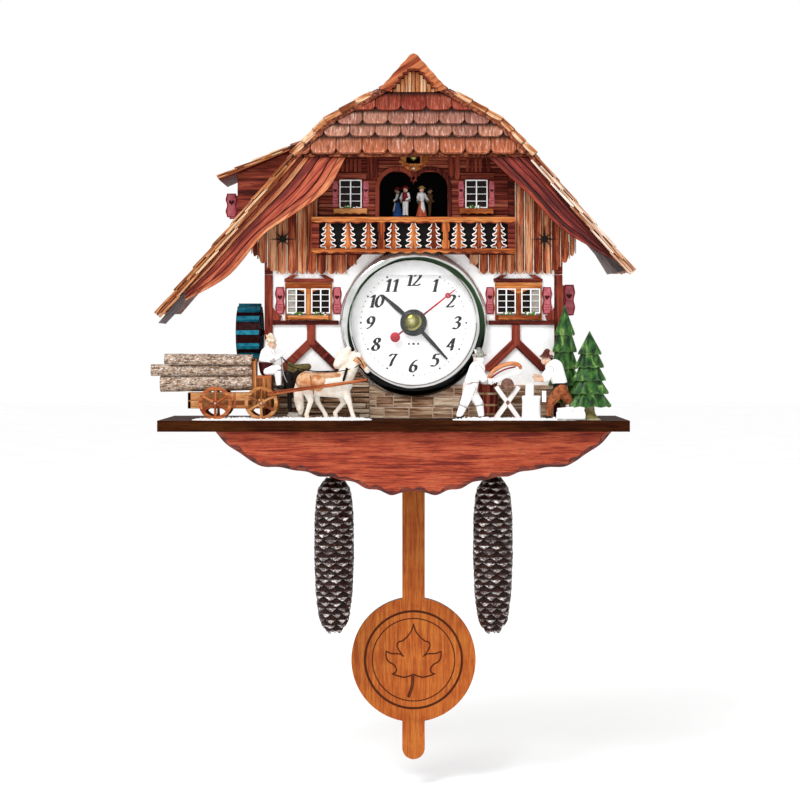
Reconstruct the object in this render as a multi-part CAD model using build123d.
"""Chalet pendulum wall clock: a house on a shelf with a quartz dial, a dancers' niche, a cuckoo,
a mill wheel, two hanging pine cones and a wooden pendulum.

Row frame: +X to the viewer's right, +Y into the wall, +Z up. The origin is the centre of the hanging
hole, on the wall's surface. The model is built from the shelf's top face up, and moved at the end:
heights are measured up from that face, and depths out from the wall, towards the viewer.
"""

from build123d import *
import os
from math import cos, hypot, pi, radians, sin, tan

# ---- Driving dimensions, in millimetres and degrees.
HANG_HEIGHT = 140.0  # hanging hole above the shelf
HANG_HOLE_R = 3.0
HOUSE_HALF = 74.5  # half the house's width
WALL = 3.0
BACK = 4.0  # back board's thickness
FACADE = 36.0  # front face of the house, out from the wall
STOREY = 72.0  # where the boarded upper storey starts
DIAL_HEIGHT = 47.9
DIAL_R = 31.4
BEZEL_R = 36.9
CUP_R = 33.0
SHELF_THICK = 5.35
SHELF_DEPTH = 62.0
SHELF_LEFT, SHELF_RIGHT = -124.4, 105.0

RIDGE_H = 178.0  # roof surface at the ridge
UPPER_PITCH, LOWER_PITCH = radians(33.1), radians(49.4)
KNEE_X = 44.5  # where the roof turns steeper
KNEE_H = RIDGE_H - KNEE_X * tan(UPPER_PITCH)
EAVE_LEFT, EAVE_RIGHT = 127.0, 109.0
SHINGLE, ROOF_BOARD = 2.2, 2.3
ROOF_FRONT = 56.0
HIP_TOP_D, HIP_TOP_H, HIP_FOOT_H = 34.0, 163.6, 130.6
HIP_SLOPE = (HIP_TOP_H - HIP_FOOT_H) / (ROOF_FRONT - HIP_TOP_D)

BALCONY_HALF = 50.5
BALCONY_FLOOR, RAIL_TOP = 82.0, 100.1
BALCONY_FRONT = 46.5
NICHE_FLOOR = 99.8

PIVOT_H, PENDULUM_D = 36.0, 12.2  # pendulum's pivot height, and the depth of the rod's rear face
PENDULUM_THICK = 4.0
BOB_H, BOB_R, ROD_HALF = -124.2, 31.8, 5.75
PENDULUM_TIP = -175.1
SLOT_HALF, SLOT_NEAR_WALL, SLOT_FAR = 11.0, 8.0, 14.5
CONE_X, CONE_D, CONE_R = 39.6, 38.0, 10.4
CONE_TOP, CONE_TIP = -30.5, -106.0

RUN = 0.08  # radial running clearance
HOUR_ANGLE, MINUTE_ANGLE, SECOND_ANGLE = 311.4, 137.2, 51.6  # clockwise from twelve
DOOR_OPEN = 125.0
WHEEL_H, WHEEL_D, WHEEL_R = 43.0, 19.0, 15.0
WHEEL_OUT, WHEEL_IN = -89.5, -77.0
TABLE_D, TABLE_R = 20.0, 11.8

parts = {}


# ---- Helpers.
def outline(*points):
    """A flat face with straight sides, in x and height."""
    return make_face(Polyline(*points, close=True))


def front(sketch, d0, d1):
    """A solid whose outline is seen from the front, from depth d0 to depth d1."""
    return extrude(Plane.XZ.offset(d0) * sketch, amount=d1 - d0)


def side(points, x0, x1):
    """A solid whose outline, in depth and height, is seen from the side, from x0 to x1."""
    face = make_face(Polyline(*[(-d, h) for d, h in points], close=True))
    return extrude(Plane.YZ.offset(x0) * face, amount=x1 - x0)


def block(x0, x1, d0, d1, h0, h1):
    return Pos((x0 + x1) / 2, -(d0 + d1) / 2, (h0 + h1) / 2) * Box(x1 - x0, d1 - d0, h1 - h0)


def rect(x0, x1, h0, h1):
    return outline((x0, h0), (x1, h0), (x1, h1), (x0, h1))


def disc(x, h, r, d0, d1):
    """A cylinder whose axis points at the viewer."""
    return front(Pos(x, h) * Circle(r), d0, d1)


def ring(x, h, r, bore, d0, d1):
    return front(Pos(x, h) * (Circle(r) - Circle(bore)), d0, d1)


def post(x, d, r, h0, h1, top_r=None):
    """An upright cylinder or cone."""
    middle = Pos(x, -d, (h0 + h1) / 2)
    return middle * (Cylinder(r, h1 - h0) if top_r is None else Cone(r, top_r, h1 - h0))


def ball(x, d, h, r):
    return Pos(x, -d, h) * Sphere(r)


def limb(start, end, r0, r1=None):
    """A tapered round limb between two points given as x, depth and height."""
    a, b = (Vector(p[0], -p[1], p[2]) for p in (start, end))
    way = b - a
    body = Cylinder(r0, way.length) if r1 in (None, r0) else Cone(r0, r1, way.length)
    return Plane(origin=(a + b) / 2, z_dir=way) * body


def beam(x0, h0, x1, h1, width):
    """A flat straight timber's outline."""
    length = hypot(x1 - x0, h1 - h0)
    nx, nh = -(h1 - h0) / length * width / 2, (x1 - x0) / length * width / 2
    return outline((x0 + nx, h0 + nh), (x1 + nx, h1 + nh), (x1 - nx, h1 - nh), (x0 - nx, h0 - nh))


def both(shape):
    """The shape and its mirror image across the middle of the house."""
    return [shape, mirror(shape, about=Plane.YZ)]


def add(name, *shapes):
    """Keeps a sub-part, one STEP file of one or more solids."""
    solids = [s for shape in shapes for s in shape.solids()]
    parts[name] = Compound(children=[Pos(0, 0, -HANG_HEIGHT) * s for s in solids])


# ---- Roof lines. Each is ridge, knee and eave, at a depth below the shingles' surface.
def roof_line(hand, inset, eave):
    ridge = RIDGE_H - inset / cos(UPPER_PITCH)
    lower = KNEE_H + KNEE_X * tan(LOWER_PITCH) - inset / cos(LOWER_PITCH)
    knee_x = (lower - ridge) / (tan(LOWER_PITCH) - tan(UPPER_PITCH))
    eave_h = KNEE_H - (eave - KNEE_X) * tan(LOWER_PITCH)
    eave_x = (lower - eave_h) / tan(LOWER_PITCH)
    knee = (hand * knee_x, ridge - knee_x * tan(UPPER_PITCH))
    return [(0, ridge), knee, (hand * eave_x, eave_h)]


def roof_height(x, inset):
    """Height of the lower slope's line at a distance from the middle."""
    return KNEE_H - (abs(x) - KNEE_X) * tan(LOWER_PITCH) - inset / cos(LOWER_PITCH)


def courses(hand, eave, upper_rows, lower_rows):
    """A slope's shingles as a saw-toothed slab, one tooth to each course."""
    top, base = roof_line(hand, 0, eave), roof_line(hand, SHINGLE, eave)
    edge = [(0, top[0][1] - SHINGLE * 0.6)]
    for (a, b), rows in zip(zip(top, top[1:]), (upper_rows, lower_rows)):
        ux, uh = b[0] - a[0], b[1] - a[1]
        length = hypot(ux, uh)
        nx, nh = -abs(uh) / length * hand, -abs(ux) / length
        for row in range(rows):
            low = (row + 1) / rows
            edge.append((a[0] + ux * low, a[1] + uh * low))
            if row < rows - 1:
                edge.append((a[0] + ux * low + nx * SHINGLE * 0.55, a[1] + uh * low + nh * SHINGLE * 0.55))
    return outline(*edge, *reversed(base))


def under_roof(inset):
    """The house's outline under the roof, wide of the walls."""
    right = roof_line(1, inset, 100)
    left = roof_line(-1, inset, 100)
    return outline((0, right[0][1]), right[1], right[2], (100, -1), (-100, -1), left[2], left[1])


ROOF_UNDER = SHINGLE + ROOF_BOARD
house = front(under_roof(ROOF_UNDER + 0.02), 0, FACADE)
in_front_of_hip = side(
    [
        (20, HIP_TOP_H + (HIP_TOP_D - 20) * HIP_SLOPE),
        (ROOF_FRONT, HIP_FOOT_H),
        (80, HIP_FOOT_H),
        (80, 220),
        (20, 220),
    ],
    -150,
    150,
)


# ---- House.
def house_shell():
    body = house & block(-HOUSE_HALF, HOUSE_HALF, 0, FACADE, 0, 200)
    hole = disc(0, HANG_HEIGHT, HANG_HOLE_R, 0, BACK)
    board = (body & block(-90, 90, 0, BACK, 0, 200)) - hole
    board -= block(HATCH_LEFT + LIP, HATCH_RIGHT - LIP, 0, BACK, HATCH_LOW + LIP, HATCH_HIGH - LIP)
    board -= block(HATCH_LEFT, HATCH_RIGHT, 0, HATCH_THICK, HATCH_LOW, HATCH_HIGH)
    cover = block(HATCH_LEFT + RUN, HATCH_RIGHT - RUN, 0, HATCH_THICK, HATCH_LOW + RUN, HATCH_HIGH - RUN)
    screws = []
    for x in (HATCH_LEFT + LIP / 2, HATCH_RIGHT - LIP / 2):
        for h in (HATCH_LOW + 10, HATCH_HIGH - 10):
            head = disc(x, h, 2.2, 0.1, 1.1) - block(x - 3, x + 3, 0, 0.5, h - 0.25, h + 0.25)
            screws.append(head + disc(x, h, 0.8, 1, 3.5))
            cover -= disc(x, h, 2.2 + RUN, 0, 1.1) + disc(x, h, 0.8 + RUN, 0, BACK)
            board -= disc(x, h, 0.8 + RUN, 0, 3.6)
    lower_board = block(-90, 90, 0, BACK, -1, STOREY)
    add("back_board", board & lower_board, board - lower_board)
    add("back_hatch", cover)
    add("hatch_screws", *screws)

    behind = block(-90, 90, BACK, FACADE - WALL, 0, 200)
    left = body & behind & block(-HOUSE_HALF, -HOUSE_HALF + WALL, 0, 60, 0, 200)
    right = body & behind & block(HOUSE_HALF - WALL, HOUSE_HALF, 0, 60, 0, 200)
    axle_hole = Pos(-HOUSE_HALF, -WHEEL_D, WHEEL_H) * Rot(0, 90, 0) * Cylinder(1.2 + RUN, 20)
    add("side_walls", left - axle_hole, right)

    plate = body & block(-90, 90, FACADE - WALL, FACADE, 0, 151)
    lower = plate & block(-90, 90, 0, 60, 0, STOREY)
    upper = plate & block(-90, 90, 0, 60, STOREY, 151)
    dial_hole = disc(0, DIAL_HEIGHT, CUP_R + 0.15, 0, 60)
    add("lower_facade", lower - dial_hole)
    add("upper_facade", upper - dial_hole - front(arches(), 0, 60) - cuckoo_hole())


ARCH_R, ARCH_X, ARCH_SPRING = 8.6, 8.4, 115.2
HATCH_LEFT, HATCH_RIGHT, HATCH_LOW, HATCH_HIGH = -32.0, 66.0, 4.0, 70.0
HATCH_THICK, LIP = 2.0, 6.0


def arches():
    """The twin round-headed opening that the dancers pass behind."""
    sketch = rect(-ARCH_X - ARCH_R, ARCH_X + ARCH_R, NICHE_FLOOR, ARCH_SPRING)
    for x in (-ARCH_X, ARCH_X):
        sketch += Pos(x, ARCH_SPRING) * Circle(ARCH_R)
    return sketch


HOLE_HALF, HOLE_LOW, HOLE_HIGH = 3.6, 127.5, 134.5


def cuckoo_hole():
    return block(-HOLE_HALF, HOLE_HALF, 0, 60, HOLE_LOW, HOLE_HIGH)


def cladding():
    """Vertical boards of the upper storey, and the pendant boards either side of the niche."""
    top_in, top_out = roof_height(47.5, ROOF_UNDER + 0.1), roof_height(81.3, ROOF_UNDER + 0.1)
    wing = outline(
        (-24, 81.9), (-47.5, 81.9), (-47.5, top_in), (-81.3, top_out), (-81.3, 83), (-79, 79.8),
        (-74.3, 76.7), (-69.1, STOREY), (-32.9, STOREY), (-29.1, 75.4),
    )
    pendant = front(rect(-23.2, -20.4, 119.6, 142) + rect(-20.2, -17.4, 120.5, 142), FACADE, FACADE + 1)
    wing_solid = front(wing, FACADE, FACADE + 2.5) & block(-100, 0, 0, 60, 0, 200)
    add("plank_cladding", *both(wing_solid), *both(pendant))
    star = RegularPolygon(1.2, 8)
    for turn in range(0, 360, 45):
        star += Rot(0, 0, turn) * Polygon((-0.55, 0), (0.55, 0), (0, 7.6), align=None)
    add("star_ornaments", *both(front(Pos(-65.3, 89.5) * star, FACADE + 2.5, FACADE + 3.1)))


def timber():
    """Half-timbering on the plastered ground floor, beside and under the windows."""
    frame = rect(-74.4, -70.2, 0, STOREY - 0.1)
    frame += rect(-70.2, -37.4, 46.8, 49)
    frame += rect(-64.5, -40, 68.1, 70)
    frame += outline((-60.6, STOREY - 0.1), (-57.4, STOREY - 0.1), (-61.2, 68.1), (-64.6, 68.1))
    frame += outline((-44.0, STOREY - 0.1), (-47.2, STOREY - 0.1), (-43.4, 68.1), (-40.0, 68.1))
    frame += rect(-53.2, -49, 36, 46.8)
    frame += beam(-51.1, 38.5, -66.5, 23.6, 4.2) & rect(-70.2, -30, 23.6, 50)
    frame += beam(-51.1, 38.5, -35.7, 23.6, 4.2) & rect(-70.2, -30, 23.6, 50)
    frame += outline((-70.2, 49), (-66.6, 49), (-65.6, 51.5), (-68.4, 52.3), (-70.2, 56))
    add("timber_frame", *both(front(frame, FACADE, FACADE + 1.5)))
    wall = rect(-70.1, -14, 0, 23.4) + rect(-14, 70.1, 0, 17.0)
    wall -= Pos(0, DIAL_HEIGHT) * Circle(BEZEL_R + 0.2)
    add("stone_plinth", front(wall, FACADE, FACADE + 2.2))


# ---- Roof.
def roof():
    slopes, shingles = [], []
    for hand, eave, rows in ((-1, EAVE_LEFT, 9), (1, EAVE_RIGHT, 7)):
        upper, lower = roof_line(hand, SHINGLE, eave), roof_line(hand, ROOF_UNDER, eave)
        slopes.append(front(outline(*upper, *reversed(lower)), 0, ROOF_FRONT) - in_front_of_hip)
        shingles.append(front(courses(hand, eave, 5, rows), 0, ROOF_FRONT) - in_front_of_hip)
    inside = front(under_roof(ROOF_UNDER + 0.02), 0, 80) & block(-100, 100, 0, 80, 129, 200)
    add("roof_boards", *slopes, hip_layer(SHINGLE, ROOF_UNDER) & inside)
    add("roof_shingles", *shingles)
    add("hip_shingles", hip_layer(0, SHINGLE) & inside)

    right = [(17.3, HIP_TOP_H), (9.2, 173.6), (1.2, 183.2)]
    cap = outline(*right, *[(-x, h) for x, h in reversed(right)])
    surface = [outline(*roof_line(hand, 0, 60), (0, 100)) for hand in (-1, 1)]
    below = [front(s, 0, 60) - in_front_of_hip for s in surface]
    saddle = front(cap, 14, HIP_TOP_D)
    for s in below:
        saddle -= s
    add("gable_cap", saddle & block(-30, 30, 14, HIP_TOP_D, HIP_TOP_H + 0.1, 200))


def hip_layer(outer, inner):
    """A slab of the front hip between two depths below its surface, square across the roof."""
    pitch = hypot(1, HIP_SLOPE)
    start, end = 22.0, ROOF_FRONT

    def height(d, inset):
        return HIP_TOP_H - (d - HIP_TOP_D) * HIP_SLOPE - inset * pitch

    return side([(start, height(start, outer)), (end, height(end, outer)), (end, height(end, inner)),
                 (start, height(start, inner))], -100, 100)


def bargeboards():
    """Curved boards under the roof's front edges."""
    top = HIP_FOOT_H - 1.8
    for_sides = []
    for hand, toe, belly in (
        (-1, 112.0, [(33.5, top), (42.5, 113), (58, 101.5), (74, 90.6), (90.7, 71.1), (112.0, 58.4)]),
        (1, 97.5, [(37.4, top), (57.0, 110.2), (71.7, 94.6), (86.3, 85.3), (97.5, 78.9)]),
    ):
        upper_x = KNEE_X + (KNEE_H - (ROOF_UNDER + 0.05) / cos(LOWER_PITCH) - top) / tan(LOWER_PITCH)
        toe_h = roof_height(toe, ROOF_UNDER + 0.05)
        lower = Spline(*[(hand * x, h) for x, h in belly])
        upper = Polyline(lower @ 1, (hand * toe, toe_h), (hand * upper_x, top), lower @ 0)
        for_sides.append(front(make_face(lower + upper), 50, 53))
    add("bargeboards", *for_sides)


DORMER_PITCH = radians(23.2)
DORMER_X, DORMER_EAVE, DORMER_EAVE_H, DORMER_THICK = -87.8, -98.0, 121.1, 3.2


def dormer():
    """A shed dormer on the left slope."""
    rise = tan(DORMER_PITCH)
    gap = 0.1

    def slope(x, inset):
        return DORMER_EAVE_H + (x - DORMER_EAVE) * rise - inset / cos(DORMER_PITCH)

    def meets(inset):
        line = KNEE_H + KNEE_X * tan(LOWER_PITCH) + gap
        return (line - slope(0, inset)) / (rise - tan(LOWER_PITCH))

    def roof_above(x):
        return roof_height(x, 0) + gap

    far, near = meets(0), meets(DORMER_THICK)
    deck = outline((DORMER_EAVE, DORMER_EAVE_H), (far, slope(far, 0)), (near, slope(near, DORMER_THICK)),
                   (DORMER_EAVE + 1, slope(DORMER_EAVE + 1, DORMER_THICK)))
    add("dormer_roof", front(deck, 5, 43))
    near = meets(DORMER_THICK + gap)
    room = outline((DORMER_X, roof_above(DORMER_X)), (DORMER_X, slope(DORMER_X, DORMER_THICK + gap)),
                   (near, slope(near, DORMER_THICK + gap)))
    inner_x = DORMER_X + 2
    hollow = outline((inner_x, roof_above(inner_x) - 5), (inner_x, slope(inner_x, DORMER_THICK + gap) + 5),
                     (near + 9, slope(near, 0) + 9), (near + 9, slope(near, 0) - 9))
    walls = front(room, 8, 38) - front(hollow, 10, 36)
    add("dormer_walls", walls)


# ---- Balcony and niche.
def balcony():
    deck = block(-47.4, 47.4, FACADE, 43, BALCONY_FLOOR + 0.2, BALCONY_FLOOR + 1.8)
    deck -= disc(0, DIAL_HEIGHT, BEZEL_R + 0.3, 0, 60)
    low, high = BALCONY_FLOOR + 2.5, RAIL_TOP - 2.7
    rails = [block(-BALCONY_HALF, BALCONY_HALF, 43, BALCONY_FRONT, h0, h1)
             for h0, h1 in ((BALCONY_FLOOR, low), (high, RAIL_TOP))]
    posts = [block(x - 1.9, x + 1.9, 43, BALCONY_FRONT, low, high) for x in (-48.6, -15.9, 15.9, 48.6)]
    ends = both(block(-BALCONY_HALF, -48, FACADE + 2.5, 43, BALCONY_FLOOR, RAIL_TOP))
    trees = [front(Pos(middle + step, low) * fir_outline(high - low), 44, 45.2)
             for middle in (-32.3, 0, 32.3) for step in (-10.0, 0, 10.0)]
    add("balcony", deck, *rails, *posts, *ends, *trees)


def fir_outline(height):
    """A fretwork fir tree: four tiers that widen downwards."""
    half = []
    for tier in range(4):
        tip = height * (1 - tier * 0.24)
        half += [(0.55 + tier * 0.42, tip), (1.9 + tier * 0.75, tip - height * 0.22)]
    return outline((0, height), *half, (1.2, 0), (-1.2, 0), *[(-x, h) for x, h in reversed(half)])


def niche():
    """The dark room behind the arches, its turntable and its dancers."""
    box = block(-22, 22, 6, FACADE - WALL, NICHE_FLOOR - 1.8, 126)
    room = block(-20.5, 20.5, 7.5, FACADE, NICHE_FLOOR, 124.5)
    shaft_hole = post(0, TABLE_D, 1.2 + RUN, 90, NICHE_FLOOR + 1)
    add("dance_niche", box - room - shaft_hole)
    table = post(0, TABLE_D, TABLE_R, NICHE_FLOOR + 0.5, NICHE_FLOOR + 1.7)
    add("turntable", table + post(0, TABLE_D, 1.2, 90.5, NICHE_FLOOR + 1))
    figures = []
    for index in range(6):
        turn = radians(30 + index * 60)
        figures.append(dancer(8.2 * sin(turn), TABLE_D + 8.2 * cos(turn), NICHE_FLOOR + 1.7, index % 2))
    add("dancers", *figures)

    gearbox = block(-14, 14, 8, 32, 84, NICHE_FLOOR - 3.8) - shaft_hole
    axle_hole = Pos(-65, -WHEEL_D, WHEEL_H) * Rot(0, 90, 0) * Cylinder(1.2 + RUN, 8)
    wheel_motor = block(-68, -50, 10, 28, 35, 51) - axle_hole
    bird_guide = block(-2, 2, 18, 24, 126, 129.05)
    add("automaton_drive", gearbox, wheel_motor, bird_guide)


def dancer(x, d, foot, skirted):
    """A dancer 14 mm tall: skirt or legs, body, head and hat."""
    body = post(x, d, 2.6 if skirted else 1.7, foot, foot + 7.5, 1.2)
    body += post(x, d, 1.1, foot + 7, foot + 11, 1.5)
    return body + ball(x, d, foot + 12.2, 1.4) + post(x, d, 2.0, foot + 12.7, foot + 13.1) + post(
        x, d, 1.2, foot + 13, foot + 14.2)


def cuckoo():
    """The bird on its arm, and the door that stands open beside it."""
    bird = ball(0, 33, 131.3, 2.1) + ball(0, 35.0, 132.6, 1.35)
    bird += limb((0, 35.4, 132.55), (0, 38.4, 132.1), 0.55, 0.2)
    rod = block(-0.8, 0.8, 18.5, 32.6, 129.1, 130.4)
    add("cuckoo_bird", bird - rod, rod)
    hinge = Pos(HOLE_HALF + 0.1, -FACADE, 0)
    leaf = block(-HOLE_HALF + 0.25, HOLE_HALF - 0.1, FACADE - 0.8, FACADE, HOLE_LOW + 0.2, HOLE_HIGH - 0.2)
    add("cuckoo_door", hinge * Rot(0, 0, DOOR_OPEN) * Pos(-HOLE_HALF - 0.1, FACADE, 0) * leaf)
    leafy = outline((-6.8, 136), (-7.2, 131), (-6, 127.6), (-3, 125.2), (0, 123.9), (3, 125.2), (6, 127.6),
                    (7.2, 131), (6.8, 136))
    leafy -= rect(-HOLE_HALF, HOLE_HALF + 1.7, HOLE_LOW - 0.1, 137)
    add("cuckoo_frame", front(leafy, FACADE, FACADE + 1.4))


# ---- Windows.
def sash(x0, x1, h0, h1, rows):
    """A glazed sash of two columns of panes."""
    bar, frame = 0.5, 0.7
    sketch = rect(x0, x1, h0, h1)
    wide = (x1 - x0 - 2 * frame - bar) / 2
    tall = (h1 - h0 - 2 * frame - (rows - 1) * bar) / rows
    for column in range(2):
        for row in range(rows):
            left, low = x0 + frame + column * (wide + bar), h0 + frame + row * (tall + bar)
            sketch -= rect(left, left + wide, low, low + tall)
    return sketch


def windows():
    sashes, panes, trim, leaves = [], [], [], []
    upper, lower = (-37.0, -25.9, 105.1, 119.3), [(-63.2, -53.8, 52.5, 64.9), (-51.0, -41.6, 52.5, 64.9)]
    for box, depth in [(upper, FACADE)] + [(b, FACADE + 1.2) for b in lower]:
        panes += both(front(rect(*box), depth, depth + 0.3))
        sashes += both(front(sash(*box, 4), depth + 0.3, depth + 1.1))
    trim += both(front(rect(-64.2, -40.6, 49, 68.1), FACADE, FACADE + 1.2))
    trim += both(front(rect(-40.2, -23.4, 119.5, 122), FACADE, FACADE + 2.2))
    trim += both(front(rect(-40, -23, 101.7, 104.9), FACADE, FACADE + 3.2))
    trim += both(front(rect(-62.5, -42.3, 49.1, 51.6), FACADE + 1.2, FACADE + 3.6))
    for left, right, low, high in ((-40.9, -37.3, 105.1, 119.3), (-25.6, -21.9, 105.1, 119.3),
                                   (-68.4, -64.4, 52.5, 65.6), (-40.4, -37.2, 52.5, 65.6)):
        leaves += both(front(rect(left, right, low, high), FACADE, FACADE + 0.9))
    # Side windows: on the right wall, and on the dormer's end, each with two leaves that stand open.
    for wall_x, hand, low, high in ((HOUSE_HALF, 1, 51.6, 67.5), (DORMER_X, -1, 101.2, 113.6)):
        def out(a, b, d0, d1, h0, h1):
            lo, hi = sorted((wall_x + hand * a, wall_x + hand * b))
            return block(lo, hi, d0, d1, h0, h1)

        frame = out(0, 1.2, 12, 26, low, high) - out(0, 1.2, 13.5, 24.5, low + 1.5, high - 1.5)
        trim.append(frame)
        panes.append(out(0, 0.4, 13.5, 24.5, low + 1.5, high - 1.5))
        leaves += [out(1.2, 7.4, 24.8, 25.7, low, high), out(1.2, 7.4, 12.3, 13.2, low, high)]
    add("window_sashes", *sashes)
    add("window_panes", *panes)
    add("window_trim", *trim)
    add("shutters", *leaves)


# ---- Shelf and crest.
def shelf():
    slot = block(-SLOT_HALF, SLOT_HALF, SLOT_NEAR_WALL, SLOT_FAR, -10, 1)
    add("shelf", block(SHELF_LEFT, SHELF_RIGHT, 0, SHELF_DEPTH, -SHELF_THICK, 0) - slot)
    half = [(97, -SHELF_THICK), (84.7, -16.3), (73.2, -22.9), (58.5, -24.6), (46.5, -27.6), (35.5, -29.4),
            (23.1, -33.6), (11, -36.8), (0, -34.8)]
    points = half + [(-x, h) for x, h in reversed(half[:-1])]
    edges = [Line(points[-1], points[0])]
    for (x0, h0), (x1, h1) in zip(points, points[1:]):
        bulge = (x0 + x1) / 2, (h0 + h1) / 2
        out = 0.05
        middle = (bulge[0] + (h0 - h1) * out, bulge[1] - (x0 - x1) * out)
        edges.append(ThreePointArc((x0, h0), middle, (x1, h1)))
    add("crest", front(make_face(edges), 55, 58))


# ---- Dial insert and its quartz movement.
def insert():
    h = DIAL_HEIGHT
    cup = disc(0, h, CUP_R, 20, FACADE) - disc(0, h, DIAL_R + 0.2, 21.5, FACADE) - disc(KNOB_X, KNOB_H, 5.2, 0, 60)
    add("insert_cup", cup)
    section = Polyline((DIAL_R - 0.2, FACADE), (BEZEL_R, FACADE), (BEZEL_R, 37.2))
    crown = ThreePointArc((BEZEL_R, 37.2), (35.3, 41.2), (31.6, 41.8))
    inner = Polyline((31.6, 41.8), (DIAL_R - 0.4, 41.2), (DIAL_R - 0.4, 40.7), (32.2, 40.7), (32.2, 39.8),
                     (DIAL_R - 0.2, 39.8), (DIAL_R - 0.2, FACADE))
    rim = revolve(Plane.XZ * make_face(section + crown + inner), Axis.Z, 360)
    add("bezel", Pos(0, 0, h) * Rot(90, 0, 0) * rim)
    add("dial_lens", disc(0, h, 32.1, 39.85, 40.65))
    add("dial_plate", ring(0, h, DIAL_R, 2.0, 33, 33.8))
    case = block(-20, 20, 22.7, 32.6, h - 20, h + 20) - block(-18.8, 18.8, 22.7, 31.4, h - 18.8, h + 18.8)
    add("movement_case", case - disc(0, h, 1.5 + RUN, 20, 40))
    cover = block(-20, 20, 21.5, 22.7, h - 20, h + 20) - disc(KNOB_X, KNOB_H, 1.0 + RUN, 20, 30)
    add("movement_cover", cover)
    coil = Pos(0, -27, h + 14) * Rot(0, 90, 0) * Cylinder(3, 18)
    add("stepper_coil", coil + block(-12, -8.9, 24, 30, h + 11, h + 17) + block(8.9, 12, 24, 30, h + 11, h + 17))


KNOB_X, KNOB_H = 9.0, DIAL_HEIGHT - 9.0


def toothed(x, h, r, teeth, d0, d1):
    """A small wheel with pointed teeth."""
    rim = []
    for k in range(teeth):
        for share, reach in ((0, r - 0.7), (0.5, r)):
            turn = 2 * pi * (k + share) / teeth
            rim.append((reach * cos(turn), reach * sin(turn)))
    return front(Pos(x, h) * outline(*rim), d0, d1)


def hand_sketch(length, width, tip, tail):
    return outline((-width / 2, -tail), (width / 2, -tail), (width * 0.62, length * 0.55), (tip / 2, length),
                   (-tip / 2, length), (-width * 0.62, length * 0.55))


def hands():
    h = DIAL_HEIGHT

    def clock(sketch, angle, d0, d1):
        return front(Pos(0, h) * Rot(0, 0, -angle) * sketch, d0, d1)

    hour = hand_sketch(20.3, 1.3, 0.5, 0) + Circle(6.3) - Circle(1.5)
    wheel = toothed(0, h, 9.4, 36, 28, 28.6) - disc(0, h, 1.2, 20, 40)
    pipe = ring(0, h, 1.5, 0.95 + RUN, 27.4, 35.1) + wheel
    add("hour_hand", clock(hour, HOUR_ANGLE, 34.6, 35.1) + pipe)
    minute = hand_sketch(24.6, 1.0, 0.4, 0) + Circle(2.4) - Circle(0.95)
    wheel = toothed(0, h, 8, 32, 26, 26.6) - disc(0, h, 0.7, 20, 40)
    cannon = ring(0, h, 0.95, 0.45 + RUN, 25.2, 36.2) + wheel
    add("minute_hand", clock(minute, MINUTE_ANGLE, 35.7, 36.2) + cannon)
    second = hand_sketch(26.5, 0.5, 0.3, 11.7) + Pos(0, -11.7) * Circle(2.3) + Circle(1.6)
    second += Pos(0, 21.8) * (Circle(1.2) - Circle(0.7)) + rect(-0.2, 0.2, 20, 24)
    arbor = disc(0, h, 0.45, 23.2, 37.2) + toothed(0, h, 6, 30, 23.9, 24.5)
    add("second_hand", clock(second, SECOND_ANGLE, 36.8, 37.2) + arbor)
    bulge = (5.2**2 + 2.3**2) / (2 * 2.3)
    dome = Pos(0, -(39.5 - bulge), h) * Sphere(bulge) & block(-9, 9, 37.2, 45, h - 9, h + 9)
    add("centre_cap", dome)
    knob = disc(KNOB_X, KNOB_H, 4.4, 18.2, 21.3) + disc(KNOB_X, KNOB_H, 1.0, 21, 26)
    add("setting_knob", knob + toothed(KNOB_X, KNOB_H, 2.6, 12, 24, 25.4))


# ---- Pendulum and cones.
def pendulum():
    pin = disc(0, PIVOT_H, 0.8, 9, 15)
    box = block(-16, 16, BACK + 0.5, 9, 0, 41)
    bay = block(45.4, 62.6, BACK + 0.5, 22, 0, 62) - block(46.6, 61.4, 6, 23, 4.2, 60.8)
    add("pendulum_drive", box + pin, bay)
    cell = post(54, 14, 7.1, 5, 54.5) + post(54, 14, 2.7, 54, 55.8)
    add("battery", cell)
    strip = Pos(0, PIVOT_H) * Circle(2.6) + rect(-1.5, 1.5, -22, PIVOT_H) - Pos(0, PIVOT_H) * Circle(0.8 + RUN)
    hanger = front(strip, PENDULUM_D - 1.2, PENDULUM_D)
    add("pendulum_hanger", hanger + disc(0, 13, 4, 9.7, PENDULUM_D - 1.2))
    end_round = PENDULUM_TIP + ROD_HALF
    plate = rect(-ROD_HALF, ROD_HALF, end_round, -12) + Pos(0, end_round) * Circle(ROD_HALF)
    plate += Pos(0, BOB_H) * Circle(BOB_R)
    face = PENDULUM_D + PENDULUM_THICK
    bob = front(plate, PENDULUM_D, face)
    bob -= ring(0, BOB_H, 25.4, 24.2, face - 0.8, face)
    bob -= ring(0, BOB_H, 21.4, 20.8, face - 0.5, face)
    bob -= leaf_groove(face - 0.5, face + 1)
    add("pendulum_bob", bob)


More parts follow.
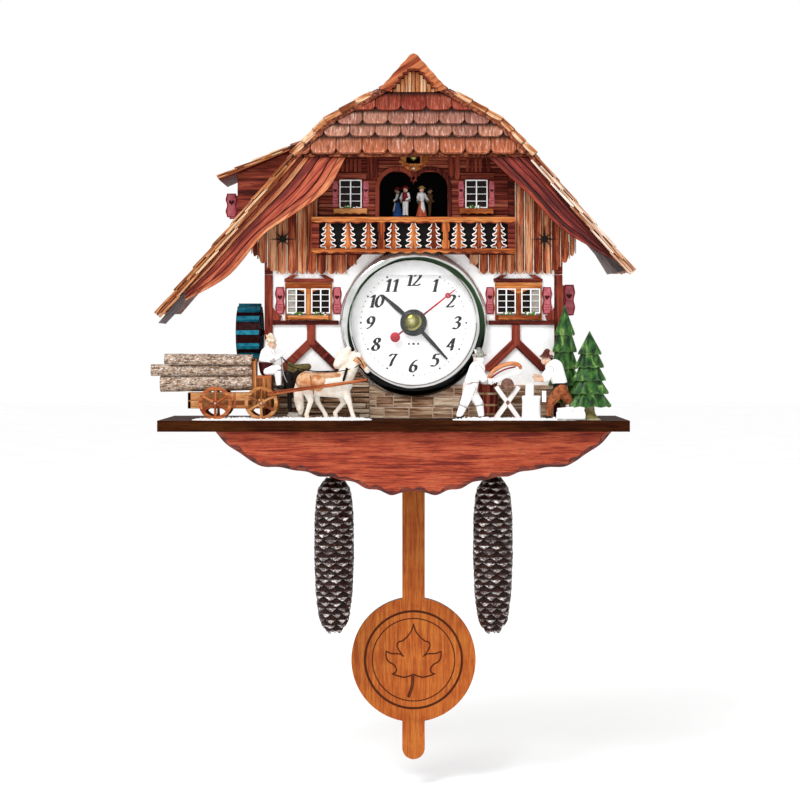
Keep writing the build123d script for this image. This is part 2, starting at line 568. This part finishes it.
# Half of a maple leaf's outline, as arcs: start, middle and end, from the bob's centre.
LEAF = (
    ((0, 18.2), (2.5, 12.6), (6.2, 9.4)),
    ((6.2, 9.4), (8.2, 8.4), (8.4, 6.9)),
    ((8.4, 6.9), (7.2, 4.4), (5.1, 1.8)),
    ((5.1, 1.8), (6.8, 2.8), (9.0, 3.1)),
    ((9.0, 3.1), (11.7, 3.3), (13.9, 4.3)),
    ((13.9, 4.3), (13.9, 1.2), (12.3, -1.4)),
    ((12.3, -1.4), (9.9, -2.8), (8.7, -4.9)),
    ((8.7, -4.9), (9.2, -6.4), (10.8, -7.2)),
    ((10.8, -7.2), (7.8, -8.3), (4.8, -9.0)),
    ((4.8, -9.0), (2.3, -8.4), (0, -7.4)),
)
LEAF_LINE, STALK_LINE = 0.75, 1.7


def leaf_groove(d0, d1):
    """The cutter of the leaf engraved in the bob, with its stalk."""
    cutter = None
    for hand in (-1, 1):
        for arc in LEAF:
            line = trace(ThreePointArc(*[(hand * x, BOB_H + up) for x, up in arc]), LEAF_LINE)
            groove = front(line, d0, d1)
            cutter = groove if cutter is None else cutter + groove
            cutter += disc(hand * arc[0][0], BOB_H + arc[0][1], LEAF_LINE / 2, d0, d1)
    stalk = ThreePointArc((-0.4, BOB_H - 7.6), (-0.6, BOB_H - 12.4), (-2.7, BOB_H - 19.2))
    return cutter + front(trace(stalk, STALK_LINE), d0, d1)


EYE_R, EYE_WIRE = 2.2, 0.6


def cones():
    hooks = []
    hang = -16.0  # middle of the hook's ring
    eye = hang - 2 * EYE_R + 2 * EYE_WIRE + 0.1
    for name, x in (("pine_cone_left", -CONE_X), ("pine_cone_right", CONE_X)):
        ring_front = Pos(x, -CONE_D, hang) * Rot(90, 0, 0) * Torus(EYE_R, EYE_WIRE)
        hooks.append(ring_front + post(x, CONE_D, EYE_WIRE, hang + EYE_R, -SHELF_THICK))
        cone_ring = Pos(x, -CONE_D, eye) * Rot(0, 90, 0) * Torus(EYE_R, EYE_WIRE)
        shank = post(x, CONE_D, EYE_WIRE, CONE_TOP - 3, eye - EYE_R)
        length = CONE_TOP - CONE_TIP
        profile = Spline((5.2, CONE_TOP), (9.0, CONE_TOP - 0.1 * length), (CONE_R, CONE_TOP - 0.42 * length),
                         (9.5, CONE_TOP - 0.74 * length), (7.2, CONE_TOP - 0.93 * length), (0, CONE_TIP))
        close = Polyline((0, CONE_TIP), (0, CONE_TOP), (5.2, CONE_TOP))
        body = revolve(Plane.XZ * make_face(profile + close), Axis.Z, 360)
        add(name, Pos(x, -CONE_D, 0) * body + shank + cone_ring)
    add("cone_hooks", *hooks)


# ---- Mill wheel.
def water_wheel():
    def lying(r, x0, x1):
        return Pos((x0 + x1) / 2, -WHEEL_D, WHEEL_H) * Rot(0, 90, 0) * Cylinder(r, x1 - x0)

    wheel = lying(3, WHEEL_OUT, WHEEL_IN)
    for x in (WHEEL_OUT, WHEEL_IN - 1):
        wheel += lying(WHEEL_R - 2.4, x, x + 1) - lying(WHEEL_R - 4.6, x - 1, x + 2)
    for k in range(12):
        turn = Pos(0, -WHEEL_D, WHEEL_H) * Rot(k * 30, 0, 0) * Pos(0, WHEEL_D, -WHEEL_H)
        wheel += turn * block(WHEEL_OUT + 0.5, WHEEL_IN - 0.5, WHEEL_D - 0.4, WHEEL_D + 0.4,
                              WHEEL_H + 8.5, WHEEL_H + WHEEL_R)
        if k % 2 == 0:
            for x in (WHEEL_OUT, WHEEL_IN - 1):
                wheel += turn * block(x, x + 1, WHEEL_D - 0.6, WHEEL_D + 0.6, WHEEL_H + 2, WHEEL_H + 11)
    add("water_wheel", wheel + lying(1.2, WHEEL_IN - 1, -62))


# ---- Figures on the shelf.
def person(x, d, foot, height, lean, stance, arms, seated=False):
    """A carved man: boots and legs, body, head and hat. arms are points that the hands reach."""
    hip, neck = foot + height * 0.44, foot + height * 0.76
    top = x + lean
    if seated:
        body = limb((x, d, hip), (x + 5, d, hip + 0.5), 2.2, 1.8)
        body += limb((x + 5, d, hip + 1), (x + 6.5, d, foot), 1.7, 1.3)
    else:
        body = limb((x, d - 1.4, hip), (x - stance, d - 1.4, foot), 2.2, 1.5)
        body += limb((x, d + 1.4, hip), (x + stance, d + 1.4, foot), 2.2, 1.5)
    body += limb((x, d, hip - 1.5), (top, d, neck), 3.0, 3.3)
    body += ball(top, d, neck + 0.4, 3.2) + ball(top + lean * 0.15, d, neck + 4, 2.7)
    hat = neck + 5.6
    head_x = top + lean * 0.15
    body += post(head_x, d, 3.6, hat, hat + 0.8) + post(head_x, d, 2.5, hat, hat + 3, 1.9)
    for reach in arms:
        body += limb((top, reach[1], neck - 1), reach, 1.4, 1.0)
    return body


def lumber_scene():
    d = 52.0
    bed = block(-110.4, -78.9, 46, 56, 5.6, 13.6) - block(-109, -80.5, 47.5, 54.5, 8, 14)
    head = block(-78.9, -77, 46, 56, 5.6, 30) + block(-77, -69.5, 46.5, 55.5, 5.6, 21.9)
    cart = bed + head
    for x in (-96.6, -74.2):
        cart += disc(x, 8.4, 0.9, 42.9, 59.2)
        for near in (57.4, 43.4):
            wheel = Circle(8.2) - Circle(6.9) + Circle(1.9)
            for turn in range(0, 180, 60):
                wheel += Rot(0, 0, turn) * Rectangle(14.2, 1.2)
            cart += front(Pos(x, 8.4) * wheel, near, near + 1.4)
    shaft = [limb((-69.4, s, 13.0), (-22.5, s, 19.8), 0.9) for s in (46.7, 59.3)]
    add("wagon", cart, *shaft)

    logs = [limb((-122.8, 48.6, 30.0), (-79.1, 48.6, 29.6), 2.6), limb((-129.0, 51.5, 24.6), (-79.1, 51.5, 24.7), 2.7),
            limb((-124.5, 49.8, 17.7), (-79.1, 49.8, 18.4), 3.7, 3.5), limb((-120, 54.2, 29.0), (-79.1, 54.2, 29.2), 2.3)]
    add("log_load", *[front_clear(log) for log in logs])
    add("driver", person(-73.2, 51, 22.0, 17.5, 0.5, 0, [(-65, 53, 27)], True) & block(-90, -50, 40, 62, 21.95, 60))

    horse = limb((-53.5, d + 1, 17.4), (-31.5, d + 1, 18.0), 4.9, 4.6)
    horse += limb((-35, d + 1, 19), (-27.0, d + 1, 31.5), 4.1, 2.4) + limb((-29.0, d + 1, 32.6), (-22, d + 1, 26.5), 2.5, 1.5)
    for x, foot_x, across in ((-51.0, -52.0, 2.2), (-48.5, -46.5, -2.2), (-36.5, -38.5, -2.1), (-33.5, -28.5, 2.1)):
        horse += limb((x, d + 1 + across, 15.5), (foot_x, d + 1 + across, -0.5), 2.0, 1.1)
    horse += limb((-52.5, d + 1, 20), (-56, d + 1, 8), 1.1, 1.6)
    add("horse", horse & block(-60, -18, 40, 62, 0, 60))

    sawyer = person(28.0, 54, 0.1, 34.5, 3.5, 4.5, [(37.5, 53, 18.5), (37.0, 55.5, 19.5)])
    saw = beam(37.0, 18.3, 52.6, 24.6, 1.6) + (Pos(44.5, 20.4) * Rot(0, 0, 22) * (Ellipse(8, 5.5) - Ellipse(6.8, 4)))
    saw -= beam(36.0, 10.9, 56.0, 19.0, 13.0)
    saw = front(saw, 54.9, 55.7)
    add("sawyer", (sawyer & block(10, 60, 40, 62, 0, 60)) - saw, saw)
    cross = []
    for near in (50, 56.5):
        legs = beam(40.2, 0.4, 51.6, 17, 2.2) + beam(51.6, 0.4, 40.2, 17, 2.2)
        cross.append(front(legs & rect(30, 60, 0, 17), near, near + 1.4))
    log = limb((46, 47.5, 17.6), (46, 60, 17.6), 3.0)
    for s in cross:
        log -= s
    add("sawbuck", *cross, log, disc(46, 8.7, 0.8, 51.4, 56.5))
    block_top = 12.0
    stump = post(57.6, 55, 5.0, 0, block_top) + post(56.8, 55, 2.4, block_top, 17.8)
    barrel = post(36.8, 44.6, 5.2, 0, 20)
    billet = limb((69.5, 59.7, 2.2), (83.5, 59.7, 2.2), 2.1)
    add("chopping_block", stump, barrel, billet)
    chopper = person(71.0, 54.2, 0.1, 33.0, -6.4, 4.2, [(61.0, 52.5, 20.5), (61.5, 56, 20.8)])
    add("woodchopper", (chopper & block(40, 90, 40, 62, 0, 60)) - post(57.6, 55, 5.1, 0, 12.2))
    add("fir_trees", fir(74.9, 43.6, 56.5, 9.6, 5.0), fir(86.2, 54.0, 43.6, 11.2, 5.2))


def front_clear(log):
    """A log kept clear of the wagon's headboard."""
    return log & block(-140, -79.05, 0, 70, 13.7, 60)


def fir(x, d, height, radius, half_depth):
    """A carved fir, flat from front to back: a flared trunk and stacked skirts."""
    tiers, skirt_share, low = 5, 0.36, height * 0.14
    tree = post(0, 0, radius * 0.62, 0, low * 0.7, radius * 0.3) + post(0, 0, radius * 0.3, 0, low * 1.4)
    for tier in range(tiers):
        share = tier / tiers
        base = low + (height - low) * share * 0.86
        last = tier == tiers - 1
        tip = height if last else base + (height - low) * skirt_share
        tree += post(0, 0, radius * (1 - share * 0.55), base, tip, 0.25 if last else radius * 0.16)
    return Pos(x, -d, 0) * scale(tree, by=(1, half_depth / radius, 1))


for build in (house_shell, cladding, timber, roof, bargeboards, dormer, balcony, niche, cuckoo, windows, shelf,
              insert, hands, pendulum, cones, water_wheel, lumber_scene):
    build()

os.makedirs("parts", exist_ok=True)
for name, shape in parts.items():
    export_step(shape, f"parts/{name}.step")
print(len(parts), "sub-parts")
